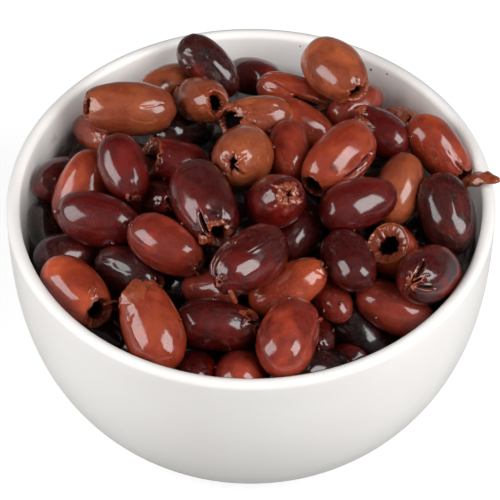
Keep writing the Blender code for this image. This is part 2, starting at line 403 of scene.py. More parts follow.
# what is different at some olives' ends, by the olive's number
endDetails = {
    3: dict(rim=0.46, inner=0.38, flat=1.05, longTurn=44, cut=0.34, cutTurn=44, sink=0.1, lumpy=0.01,
        rubbed=0.02, ragged=0.12),
    4: dict(rim=0.56, inner=0.34, flat=0.75, sink=0.14, roll=0.12, rubbed=0.12, lumpy=0.04),
    5: dict(rim=0.58, inner=0.44, cut=0.42, cutTurn=55, rubbed=0.2, lumpy=0.12, ragged=0.3),
    7: dict(rim=0.5, inner=0.38, cut=0.3, cutTurn=-100, flat=0.6, longTurn=-90, rubbed=0.05),
    8: dict(rim=0.42, inner=0.34, flat=0.6, longTurn=70, ragged=0.35, rubbed=0.12, lumpy=0.06),
    10: dict(rim=0.5, inner=0.36, cut=0.3, cutTurn=-50, ragged=0.4, rubbed=0.25, lumpy=0.12),
    11: dict(rim=0.19, inner=0.16, reach=0.33, flat=0.6, ragged=0.6, rubbed=0.09, lumpy=0.1),
    14: dict(rim=0.46, inner=0.42, sink=0.05, cut=0.15, cutTurn=27, ragged=0.12, rubbed=0.01),
    15: dict(rim=0.5, inner=0.38, cut=0.65, cutTurn=30, ragged=0.3, rubbed=0.12, lumpy=0.12),
    16: dict(rim=0.12, inner=0.1, splits=4, reach=0.42, ragged=0.6, rubbed=0.3, lumpy=0.13),
    20: dict(rim=0.5, inner=0.36, flat=0.6, ragged=0.25, lumpy=0.1, cut=0.2, cutTurn=-40, rubbed=0.1),
    21: dict(rim=0.68, inner=0.07, flat=1.15, longTurn=42, cut=0.32, cutTurn=42, sink=0.16, deep=0.1,
        ragged=0.04, ribs=0.04, roll=0.04, rubbed=0.02),
    23: dict(rim=0.3, inner=0.22, ragged=0.4, lumpy=0.14),
    24: dict(rim=0.22, inner=0.16, rubbed=0.1, lumpy=0.1),
    25: dict(rim=0.1, inner=0.08, rubbed=0.04, lumpy=0.1),
    26: dict(rim=0.44, inner=0.34, ragged=0.4, rubbed=0.2, lumpy=0.12, ribs=0.08),
    27: dict(rim=0.12, inner=0.09, rubbed=0.12, lumpy=0.14),
    33: dict(rim=0.34, inner=0.3, cut=0.2, cutTurn=-36, rubbed=0.03),
    34: dict(rim=0.5, inner=0.31, cut=0.3, cutTurn=-20, ragged=0.12, rubbed=0.03, sink=0.12, roll=0.09),
    37: dict(rim=0.5, inner=0.42, cut=0.4, cutTurn=-10, ragged=0.3, rubbed=0.05),
    40: dict(rim=0.84, inner=0.4, flat=0.95, longTurn=-106, ragged=0.05, ribs=0.008, raw=0.4, sink=0.18),
    41: dict(rim=0.08, inner=0.07, splits=3, reach=0.45, rubbed=0.12, lumpy=0.09, flat=0.6),
    45: dict(rim=0.26, inner=0.22, splits=4, reach=0.4, cut=0.55, cutTurn=-40, rubbed=0.1, lumpy=0.07),
    51: dict(rim=0.5, inner=0.4, cut=0.55, cutTurn=10, ragged=0.4, rubbed=0.06, flat=0.7, longTurn=10),
    54: dict(rim=0.5, inner=0.42, cut=0.5, cutTurn=25, ragged=0.2, rubbed=0.1),
}

# One row for each olive that shows: its middle from the bowl's axis and above the rim (mm), the heading
# and rise of its front end (degrees), its length and width (mm), its front end, its skin, and how wrinkled
# it is. An olive's number is its place in this list.
oliveRows = [
    (-12.5, 51, 2, -35, -30, 22.5, 13, "whole", "plum", 0.9),
    (-25, 49.5, -5, 40, -5, 20, 12.5, "whole", "tan", 0.3),
    (-36, 32, 3.5, 180, 5, 27.5, 16, "torn", "tan", 0.2),
    (-14.5, 37, 1.5, -55, 35, 24, 13.5, "hole", "tan", 0.3),
    (1, 28, 3.5, -175, -5, 22, 12.5, "torn", "tan", 0.5),
    (1, 56, -7.5, -35, 20, 20, 11.5, "whole", "red", 0.5),
    (13, 44.5, -3.5, -15, -10, 23, 11.5, "torn", "orange", 0.8),
    (25, 45.5, 5.5, -60, 5, 25, 16, "hole", "tan", 0.3),
    (31, 41.5, -6, 40, 0, 20, 11.5, "whole", "brick", 0.4),
    (44.5, 39.5, -11, -55, 30, 20, 10.5, "torn", "tan", 0.9),
    (-2.5, 8.5, 7.5, -105, 35, 25, 17.5, "star", "tan", 0.1),
    (11, 15.5, 2.5, -85, -5, 20, 12, "whole", "brick", 0.3),
    (15.5, 32, -4, -25, -20, 21, 12.5, "whole", "orange", 0.2),
    (25, 9, 6, -130, -10, 26.5, 16.5, "hole", "orange", 0.2),
    (37.5, 25, 0.5, 135, 0, 20.5, 13, "torn", "red", 0.4),
    (7, -9, 7.5, -60, 55, 24, 16, "star", "red", 0.2),
    (30.5, -7.5, 5, 25, 0, 23.5, 14.5, "whole", "red", 0.2),
    (42.5, 4.5, -1.5, 70, 25, 22, 14, "whole", "tan", 0.1),
    (14, -9.5, -5, 60, 10, 20, 12, "whole", "maroon", 0.3),
    (-13, -10, 8, -70, -5, 28, 17.5, "torn", "maroon", 0.4),
    (-22.5, 14.5, -1, 170, 10, 22, 13.5, "torn", "red", 0.4),
    (-20, 37, -11.5, 30, -20, 20, 12, "whole", "black", 0.6),
    (-27.5, 4.5, -6, -50, 35, 20, 11.5, "torn", "maroon", 1.0),
    (-24, -20.5, 2, -35, -5, 24, 15, "torn", "brick", 0.3),
    (-0.5, -32.5, 9, -130, 10, 26.5, 16.5, "torn", "maroon", 0.8),
    (-45.5, 33.5, -9, -55, 20, 20, 10.5, "torn", "orange", 0.9),
    (-36.5, 8, 3.5, -70, -15, 21.5, 13.5, "torn", "red", 0.4),
    (-49, 8.5, -6.5, 65, 40, 24.5, 14.5, "whole", "orange", 0.2),
    (-56, 18, -12, 45, -15, 20, 12.5, "whole", "maroon", 0.3),
    (-59, 3.5, -18, -75, -5, 20, 11.5, "whole", "black", 0.4),
    (-43.5, -7, -2, -20, 0, 24.5, 15.5, "whole", "red", 0.2),
    (-52, -10, -14, 15, -10, 21, 13, "whole", "plum", 0.3),
    (-34.5, -21, -9, -35, 5, 22, 13.5, "hole", "plum", 0.7),
    (-49, -30, -7, -50, -5, 25, 15.5, "hole", "orange", 0.2),
    (-22.5, -19.5, -17, -30, 30, 20.5, 13, "whole", "black", 0.5),
    (-40.5, -35, -20, -45, 0, 22, 13.5, "whole", "black", 0.4),
    (55, 19, -1, -45, -30, 25, 13.5, "hole", "orange", 0.3),
    (56, -4, -3, -75, -25, 24.5, 15.5, "whole", "plum", 0.7),
    (50.5, 0, -15, 65, -5, 20.5, 13, "whole", "black", 0.5),
    (40, -18, -3.5, -130, 65, 22, 14.5, "wide", "orange", 0.2),
    (49.5, -30, 0.5, -120, 30, 24, 16, "star", "maroon", 0.3),
    (40.5, -34, -10, -20, -15, 23, 14, "whole", "brick", 0.3),
    (27.5, -25.5, 1, -70, 10, 22.5, 14, "whole", "maroon", 0.5),
    (22, -30.5, -8.5, -65, 5, 20, 10.5, "whole", "brick", 0.3),
    (10.5, -32.5, -2, 20, 20, 24, 13, "star", "orange", 0.2),
    (30.5, -37.5, -17, -45, -25, 23, 13, "whole", "black", 0.5),
    (18.5, -39.5, -14, -80, 25, 20, 10, "whole", "maroon", 1.0),
    (19, -52, -15.5, 35, -20, 20, 12.5, "whole", "black", 0.5),
    (10.5, -51.5, -1, 75, -5, 26.5, 16.5, "whole", "brick", 0.4),
    (-11, -30, -5.5, -40, 30, 20, 11, "whole", "brick", 0.3),
    (-9, -44, -5, -5, -5, 24, 14.5, "hole", "maroon", 0.4),
    (-3, -55.5, -12.5, 90, -40, 24, 14, "whole", "brick", 0.3),
    (-15.5, -52.5, -14, 90, -35, 24, 11.5, "whole", "maroon", 0.3),
    (-27.5, -47.5, -1, 110, 20, 27.5, 17, "torn", "orange", 0.4),
]

# how much lighter (above 1) or darker the skin of some olives is than others of their kind
shades = {
    1: 1.5, 2: 0.7, 3: 0.75, 4: 0.75, 5: 1.1, 6: 1.5, 7: 0.6, 8: 1.15, 9: 0.7, 10: 1.4, 11: 0.8, 13: 1.1,
    14: 0.9, 17: 0.65, 19: 0.45, 22: 2.2, 23: 1.8, 24: 1.1, 25: 0.8, 26: 0.6, 27: 0.85, 28: 0.9, 29: 1.4,
    31: 0.45, 33: 1.3, 34: 1.25,
    38: 0.75, 41: 1.2, 42: 0.75, 43: 0.45, 46: 1.8, 47: 0.4, 51: 0.75, 53: 1.3, 54: 0.75,
}

# whole olives that lie by the wall below those in the list: distances in mm, turns in degrees
lowRing = {"radius": 52, "lift": -21, "from": -150, "step": 24, "count": 6, "length": 22, "width": 13}

# Slits in the skin of some olives: turn round the olive's axis from its top (degrees) at the slit's start
# and end, where along it these are (-1 is the back, 1 the front), and its width and depth (mm).
slits = {
    1: [(-40, -25, -0.6, -0.1, 0.5, 0.3), (10, 25, -0.2, 0.5, 0.5, 0.3)],
    3: [(70, 64, -0.55, 0.0, 0.5, 0.25), (30, 36, -0.75, -0.3, 0.6, 0.3)],
    7: [(-50, -72, 0.0, 0.95, 3.2, 2.6), (-20, -45, -0.6, 0.1, 0.7, 0.5)],
    14: [(82, 70, -0.5, 0.42, 1.5, 1.7), (96, 86, -0.4, 0.45, 0.9, 0.9)],
    17: [(-100, -100, -0.2, 0.8, 0.5, 0.35)],
    20: [(-28, -50, 0.5, 0.98, 1.2, 1.7)],
    25: [(-5, -95, -0.12, 0.88, 1.8, 1.7), (-14, -80, 0.3, 0.95, 1.4, 1.2), (-15, -60, 0.55, 0.98, 1.3, 1.0),
         (30, 20, -0.5, 0.4, 0.5, 0.35), (5, -10, -0.7, -0.1, 0.5, 0.3)],
    37: [(-80, -30, -0.32, -0.1, 0.8, 0.4), (-70, -20, -0.02, 0.18, 0.8, 0.45),
         (-15, -10, 0.45, 0.8, 0.8, 0.8)],
    41: [(0, 15, 0.6, 0.98, 1.4, 1.1), (90, 90, 0.7, 0.98, 1.0, 1.0)],
    43: [(-5, 5, -0.5, 0.3, 0.5, 0.3)],
    45: [(-33, -33, -0.75, -0.1, 0.5, 0.3)],
    49: [(20, 28, -0.6, 0.1, 0.4, 0.2), (38, 48, -0.5, 0.0, 0.4, 0.2)],
}

# Loose flaps, lips and tails: root and tip as turn, place along and distance from the axis (half widths),
# how far the middle bulges (half widths), width and thickness (mm), and how much of it is bare flesh.
flaps = {
    5: [((-60, 0.97, 0.3), (0, 0.5, 0.98), 0.16, 3.2, 1.5, 0.35)],
    7: [((-110, 0.8, 0.5), (-137, 1.14, 0.4), 0.05, 2.4, 0.9, 0.6)],
    10: [((0, 0.2, 0.95), (-50, 0.9, 0.85), 0.15, 4.0, 1.0, 0.5)],
    14: [((116, 0.48, 0.92), (110, -0.2, 0.99), 0.06, 2.6, 1.2, 0.1)],
    15: [((0, 0.5, 0.85), (20, 0.92, 0.7), 0.12, 2.4, 0.9, 0.6)],
    20: [((-95, 0.75, 0.62), (-60, 1.02, 0.5), 0.1, 3.0, 0.9, 0.6)],
    24: [((-52, 0.85, 0.4), (-165, 1.12, 0.42), 0.05, 1.8, 0.9, 0.4)],
    25: [((114, 0.9, 0.4), (145, 0.76, 1.0), 0.1, 1.3, 0.7, 1.0)],
    27: [((-48, 0.85, 0.4), (-50, 1.02, 0.5), 0.0, 1.6, 1.1, 1.0)],
    31: [((-53, -0.78, 0.5), (-53, -1.0, 0.64), 0.0, 1.6, 1.3, 0.0)],
    34: [((-8, 0.62, 0.76), (12, 0.44, 1.02), 0.06, 2.0, 0.6, 0.4),
         ((19, 0.82, 0.52), (70, 0.88, 0.86), 0.05, 1.3, 0.7, 0.9)],
    49: [((-62, 0.32, 0.86), (-68, 0.5, 1.04), 0.0, 1.4, 1.1, 0.0)],
    51: [((-42, 0.5, 0.84), (-6, 0.6, 0.88), 0.05, 1.2, 0.8, 0.1)],
    54: [((36, 0.36, 0.88), (2, 0.93, 0.54), 0.12, 6.4, 1.1, 0.9)],
}

# A plug of flesh that hangs out of an olive and over the rim: root and tip as turn round the bowl, distance
# from its axis and height above the rim (mm).
plug = dict(olive=37, root=(8, 62, -3), tip=(2.5, 71.5, 2.6), arch=1.4, width=5.6, thickness=3.2)

# Dents: turn, place along, radius and depth (mm).
dents = {
    1: [(-18, -0.27, 1.6, 0.5)],
    20: [(-6, 0.6, 2.8, 0.9)],
    25: [(0, 0.3, 3.5, 0.7)],
    38: [(-68, 0.65, 2.6, 0.8)],
    49: [(40, -0.1, 2.5, 0.4)],
}

# Patches of colour: turn, place along, radius (mm) and strength; bloom is greyish and dark is bruised.
patches = {
    1: [("dark", -18, -0.27, 2.2, 1.0), ("dark", -31, 0.2, 4.0, 0.5)],
    2: [("dark", -26, -0.37, 1.2, 1.0)],
    14: [("dark", 32, 0.48, 0.7, 1.0), ("dark", 80, 0.76, 1.4, 0.9)],
    20: [("bloom", 17, -0.41, 5.0, 1.0), ("dark", -6, 0.6, 2.4, 0.6)],
    27: [("bloom", -20, 0.8, 3.0, 0.5)],
    31: [("bloom", -65, -0.34, 5.0, 0.7)],
    33: [("dark", -42, 0.13, 3.0, 0.8), ("bloom", -20, -0.3, 5.0, 0.5)],
    38: [("bloom", -62, 0.5, 4.5, 1.0)],
    41: [("dark", 53, 0.03, 3.0, 1.0)],
    43: [("bloom", 20, 0.0, 4.0, 0.4)],
    49: [("dark", 41, -0.11, 0.9, 1.0), ("dark", 39, -0.38, 0.9, 0.8), ("dark", -45, -0.89, 0.9, 0.8)],
}


def openingRim(style, turnsFromTop, sway, rng):
    # how far out the rim of an opening lies at each turn
    out = style["rim"] * (1 + style["ragged"] * sway)
    gap = turnsFromTop - math.radians(style.get("longTurn", 0))
    out = out / np.sqrt(np.cos(gap) ** 2 + (np.sin(gap) / style.get("flat", 1)) ** 2)
    out = out * (1 + style.get("cut", 0) * np.cos(turnsFromTop - math.radians(style.get("cutTurn", 0))))
    count = style.get("splits", 0)
    first = rng.uniform(0, math.tau)
    for split in range(count):
        direction = first + math.tau * (split + rng.uniform(-0.35, 0.35)) / count
        reach = style["reach"] * rng.uniform(0.5, 1.2)
        spread = rng.uniform(0.12, 0.28)
        gap = turnGap(turnsFromTop, direction)
        out = np.maximum(out, out + (reach - out) * np.exp(-(gap / spread) ** 2))
    return np.clip(out, 0.04, 0.97)


def openingRings(style, rim, halfLength, halfWidth):
    # rings from the rim down into the hollow, as (half widths out, half lengths along, how deep in the flesh)
    power = olives["plumpness"]
    start = np.minimum(rim + style["roll"], 0.985)
    startAlong = (1 - start ** power) ** (1 / power)
    turns = ringTurns(len(rim))
    inner = rim * style["inner"] / style["rim"] * (1 + 0.14 * np.sin(turns * 3 + 1) * np.cos(turns * 5))
    ratio = halfWidth / halfLength
    rings = []
    for turn in np.radians(np.linspace(0, 90, olives["rollRings"] + 1))[1:]:
        out = start - style["roll"] * math.sin(turn)
        rings.append((out, startAlong - style["roll"] * ratio * (1 - math.cos(turn)), 0.05 * math.sin(turn)))
    lipAlong = rings[-1][1]
    for step in (0.2, 0.4, 0.6, 0.8, 1.0):
        sunk = lipAlong - style["sink"] * ratio * step ** 1.5
        rings.append((rim + (inner - rim) * step, sunk, 0.05 + 0.2 * step))
    base = rings[-1][1]
    deep = style["deep"] * ratio * np.clip(rim / style["rim"], 0.3, 1) ** 0.5
    for step in np.linspace(0, 1, olives["cavityRings"])[1:]:
        belly = inner * (1 + 0.3 * math.sin(math.pi * min(step * 1.3, 1)))
        rings.append((belly * math.sqrt(max(1 - step ** 4, 0)), base - deep * step, 0.25 + 0.75 * step))
    return start, rings


def oliveShape(row, number, rng):
    # an olive that points along +Z, as rings of points from its back end to the bottom of its opening, and
    # the marks on them: bare flesh, depth in the flesh (painted darker as shade), grey bloom and dark bruises
    length, width, end, wrinkle = row[5] * mm, row[6] * mm, row[7], row[9]
    halfLength, halfWidth = length / 2, width / 2
    power = olives["plumpness"]
    shows = "slit" if number in slits else "plain" if end == "whole" else "open"
    columns = olives["around"][shows]
    turns = ringTurns(columns)
    fromTop = np.arctan2(np.sin(turns), -np.cos(turns))
    seed = 1000 + number
    circle = np.stack([np.cos(turns), np.sin(turns), np.zeros(columns)], axis=-1)
    sway = 0.6 * latticeNoise(circle * 1.6 + 7, seed) + 0.4 * latticeNoise(circle * 5.5 + 3, seed)
    start = np.zeros(columns)
    hollow = []
    style = {}
    if end != "whole":
        style = {**frontEnds[end], **endDetails.get(number, {})}
        start, hollow = openingRings(style, openingRim(style, fromTop, sway, rng), halfLength, halfWidth)
    last = np.arccos(np.clip(start ** (power / 2), 0, 1))
    rings = []
    for step in np.linspace(0, 1, olives["bodyRings"]) ** 0.9:
        angle = -math.pi / 2 + (last + math.pi / 2) * step
        out = np.abs(np.cos(angle)) ** (2 / power)
        along = np.sign(np.sin(angle)) * np.abs(np.sin(angle)) ** (2 / power)
        rings.append((out, along, 0.0))
    bodyCount = len(rings)
    rings += hollow
    full = [[np.broadcast_to(value, columns) for value in ring] for ring in rings]
    out, along, deep = np.moveaxis(np.array(full), 1, 0)
    inHollow = (np.arange(len(rings)) >= bodyCount)[:, None] * np.ones((1, columns), bool)
    tip = rng.uniform(0.015, 0.05)
    along = np.where(along < 0, along - tip * np.exp(-(out / 0.22) ** 2), along)
    flat = rng.uniform(-0.04, 0.04)
    swell = out * (1 - olives["narrowing"] * along)
    across = swell * np.cos(turns) * halfWidth * (1 + flat)
    aside = swell * np.sin(turns) * halfWidth * (1 - flat)
    place = np.stack([across, aside, along * halfLength], axis=-1)
    outward = np.stack([out * np.cos(turns), out * np.sin(turns), along * halfWidth / halfLength], axis=-1)
    outward /= np.maximum(np.linalg.norm(outward, axis=-1, keepdims=True), 1e-9)
    unit = place / halfWidth
    body = np.where(inHollow, 0.35, 1.0)
    skin = np.where(inHollow, 0.0, 1.0)
    lumps = 0.035 * latticeNoise(unit * 1.1 + 11, seed) + 0.014 * latticeNoise(unit * 2.3 + 5, seed)
    grain = unit * np.array([3.4, 3.4, 1.2])
    folds = 1 - 2.2 * np.abs(latticeNoise(grain + 2, seed)) + 0.5 * latticeNoise(grain * 2.3 + 9, seed)
    creased = smoothStep(-0.4, 0.7, latticeNoise(unit * 0.9 + 4, seed + 50) + wrinkle - 0.4)
    lumps += wrinkle * 0.034 * folds * creased
    flesh = 1 - skin
    front = along > 0
    if hollow:
        away = np.maximum(out - start[None, :], 0)
        ragged = 0.5 + 0.5 * latticeNoise(unit * 5.5 + 1, seed)
        rubbed = style["rubbed"] * (0.5 + 1.4 * ragged)
        flesh = np.maximum(flesh, smoothStep(1.0, 0.6, away / np.maximum(rubbed, 1e-4)) * front)
        near = np.exp(-(away / (style["rubbed"] + 0.12)) ** 2) * front
        rough = latticeNoise(unit * 6.5, seed) + 0.5 * latticeNoise(unit * 13, seed)
        lumps += style.get("lumpy", 0.02) * rough * near
    lift = lumps * halfWidth * body
    around = np.maximum(out, 0.12) * halfWidth
    for fromTurn, toTurn, low, high, slitWidth, slitDepth in slits.get(number, []):
        wander = 0.1 * latticeNoise(np.stack([along * 4, along * 0, along * 0], axis=-1) + fromTurn, seed)
        turn = np.radians(fromTurn + (toTurn - fromTurn) * np.clip((along - low) / (high - low), 0, 1))
        gap = turnGap(fromTop, turn + wander)
        middle, half = (low + high) / 2, (high - low) / 2
        run = np.clip(1 - ((along - middle) / half) ** 2, 0, 1) ** 0.5
        reach = gap * around / (slitWidth * mm * 0.5 * (0.55 + 0.45 * run))
        cut = np.exp(-reach ** 2) * smoothStep(0, 0.3, run)
        lips = np.exp(-((reach - 1.7) / 0.7) ** 2) * run + 0.6 * np.exp(-((reach + 1.7) / 0.7) ** 2) * run
        lift += (0.32 * lips - cut) * slitDepth * mm * skin
        if slitWidth >= 0.9:
            bare = np.maximum(smoothStep(0.2, 0.6, cut), 0.6 * smoothStep(0.5, 0.9, lips))
            flesh = np.maximum(flesh, bare * skin)
        # the bottom of a wide slit is marked deep, so the skin paints it dark as shade
        deep = np.maximum(deep, 0.5 * smoothStep(0.25, 0.7, cut) * skin * min(slitWidth, 1))
    for turn, where, radius, depth in dents.get(number, []):
        lift -= depth * mm * spotOn(fromTop, along, around, turn, where, radius, halfLength)
    spots = {"bloom": np.zeros_like(flesh), "dark": np.zeros_like(flesh)}
    for kind, turn, where, radius, strength in patches.get(number, []):
        spot = strength * spotOn(fromTop, along, around, turn, where, radius, halfLength)
        spots[kind] = np.maximum(spots[kind], spot)
    place = place + outward * lift[..., None]
    if hollow:
        # the flesh in the hollow is rough, with ribs that run inwards
        raw = 0.035 * latticeNoise(unit * 5, seed) + 0.02 * latticeNoise(unit * 11, seed)
        ribs = latticeNoise(np.stack([circle[:, 0] * 7, circle[:, 1] * 7, circle[:, 0] * 0], axis=-1), seed)
        raw = (raw * style.get("raw", 1) + style.get("ribs", 0.03) * ribs[None, :] * (1 - deep)) * halfWidth
        inward = np.stack([np.cos(turns), np.sin(turns), turns * 0], axis=-1)
        place[bodyCount:] += (inward[None] * raw[..., None])[bodyCount:]
    bendTurn = rng.uniform(0, math.tau)
    bend = rng.uniform(0, 0.07) * halfWidth
    place[..., 0] += math.cos(bendTurn) * bend * (along ** 2 - 0.4)
    place[..., 1] += math.sin(bendTurn) * bend * (along ** 2 - 0.4)
    return place, np.stack([flesh, deep, spots["bloom"], spots["dark"]], axis=-1)


def flapShape(root, tip, bulge, width, thickness, fleshy, seed):
    # a closed thin sheet that runs from its root to its tip, as rings of points, and the marks on them
    ringCount, columns = 18, 28
    run = tip - root
    reach = np.linalg.norm(run)
    across = np.cross(run, bulge)
    across /= max(np.linalg.norm(across), 1e-9)
    upward = np.cross(across, run / reach)
    turns = ringTurns(columns)
    rings = []
    for step in np.linspace(0, 1, ringCount):
        wide = width * (0.45 + 0.55 * math.sin(math.pi * min(0.3 + 0.55 * step, 1)))
        wide *= max(1 - step ** 5, 0) ** 0.5
        thick = thickness * (1 - 0.55 * step) * max(1 - step ** 6, 0) ** 0.5
        middle = root + run * step + bulge * math.sin(math.pi * step)
        ring = middle + across * (np.cos(turns) * wide / 2)[:, None]
        rings.append(ring + upward * (np.sin(turns) * thick / 2)[:, None])
    place = np.array(rings)
    unit = place / max(width, 1.5 * mm)
    rough = latticeNoise(unit * 2.2, seed) + 0.5 * latticeNoise(unit * 5.5, seed)
    edge = np.abs(np.cos(turns))[None, :] ** 4
    place += across * (rough * width * 0.14 * edge * np.sign(np.cos(turns)))[..., None]
    place += upward * (latticeNoise(unit * 3.1 + 5, seed) * thickness * 0.3)[..., None]
    steps = np.linspace(0, 1, ringCount)[:, None]
    bare = np.clip(fleshy + 0.5 * edge + 0.5 * smoothStep(0.8, 1, steps) + 0.15 * rough, 0, 1)
    bare *= min(fleshy * 4, 1)
    flat = np.zeros_like(bare)
    return place, np.stack([bare, flat, flat, flat], axis=-1)


def onOlive(row, turn, along, out):
    # a place given by turn from the top, along and out, in the olive's own space
    angle = math.radians(turn)
    half = row[6] * mm / 2
    return np.array([-math.cos(angle) * out * half, math.sin(angle) * out * half, along * row[5] * mm / 2])


def spotOn(turnsFromTop, along, around, turn, where, radius, halfLength):
    # 1 at a place on an olive, and 0 beyond a radius round it
    gap = turnGap(turnsFromTop, math.radians(turn))
    away = np.hypot(gap * around, (along - where) * halfLength) / (radius * mm)
    return np.exp(-away ** 2)


def layOlive(heading, rise):
    lay = Matrix.Rotation(math.radians(heading), 3, "Z") @ Matrix.Rotation(math.radians(90 - rise), 3, "Y")
    return np.array(lay)


def keepInside(points):
    # moves what would reach the bowl back to the gap before its wall and floor
    gap = olives["wallGap"]
    points[..., 2] = np.maximum(points[..., 2], bowl["floor"] + gap)
    most = np.maximum(innerRadius(points[..., 2] - gap) - gap, 0)
    away = np.maximum(np.hypot(points[..., 0], points[..., 1]), 1e-9)
    pull = np.minimum(1, most / away)
    points[..., 0] *= pull
    points[..., 1] *= pull
    return points


def insideness(points, neighbour):
    # 1 on a neighbour's skin, less inside it
    middle, lay, halfLength, halfWidth = neighbour
    local = (points - middle) @ lay
    along = np.clip(local[..., 2] / halfLength, -1, 1)
    out = np.hypot(local[..., 0], local[..., 1]) / (halfWidth * (1 - olives["narrowing"] * along))
    power = olives["plumpness"]
    return (np.abs(local[..., 2] / halfLength) ** power + out ** power) ** (1 / power)


def squeezeOlives(shapes, bodies):
    # olives that press on each other give way, each by half
    for index, points in enumerate(shapes):
        middle = bodies[index][0]
        for other, neighbour in enumerate(bodies):
            if other == index:
                continue
            reach = bodies[index][2] + neighbour[2]
            if np.linalg.norm(middle - neighbour[0]) > reach:
                continue
            for _ in range(3):
                inside = 1 - insideness(points, neighbour)
                push = np.clip(inside + olives["squeeze"] / neighbour[3] * 0.5, 0, 0.5)
                toward = middle - points
                toward /= np.maximum(np.linalg.norm(toward, axis=-1, keepdims=True), 1e-9)
                points += toward * (push * neighbour[3] * 0.35)[..., None]


def ringFaces(first, ringCount, columns):
    # the faces between each ring of points and the next
    faces = []
    for ring in range(ringCount - 1):
        low = first + ring * columns
        high = low + columns
        for column in range(columns):
            beside = (column + 1) % columns
            faces.append((low + column, low + beside, high + beside, high + column))
    return faces


def joinGrids(name, grids):
    # one mesh of closed tubes of rings, each grid an array of rings by columns by 3
    verts = []
    faces = []
    for grid in grids:
        first = len(verts)
        ringCount, columns = grid.shape[:2]
        verts += flattenRings(grid).tolist()
        faces += ringFaces(first, ringCount - 2, columns)
        top = first + (ringCount - 3) * columns
        back = top + columns
        for column in range(columns):
            beside = (column + 1) % columns
            faces.append((back, first + beside, first + column))
            faces.append((back + 1, top + column, top + beside))
    return newPiece(name, verts, faces)


def flattenRings(grid):
    # the rings one after the other, then the middle of the first and of the last, which close the ends
    ends = [grid[0].mean(axis=0), grid[-1].mean(axis=0)]
    return np.concatenate([grid[1:-1].reshape(-1, grid.shape[-1]), ends])


def storeValues(mesh, name, kind, values):
    layer = mesh.attributes.new(name, kind, "POINT")
    field = "color" if kind == "FLOAT_COLOR" else "vector"
    layer.data.foreach_set(field, np.asarray(values, np.float32).ravel())


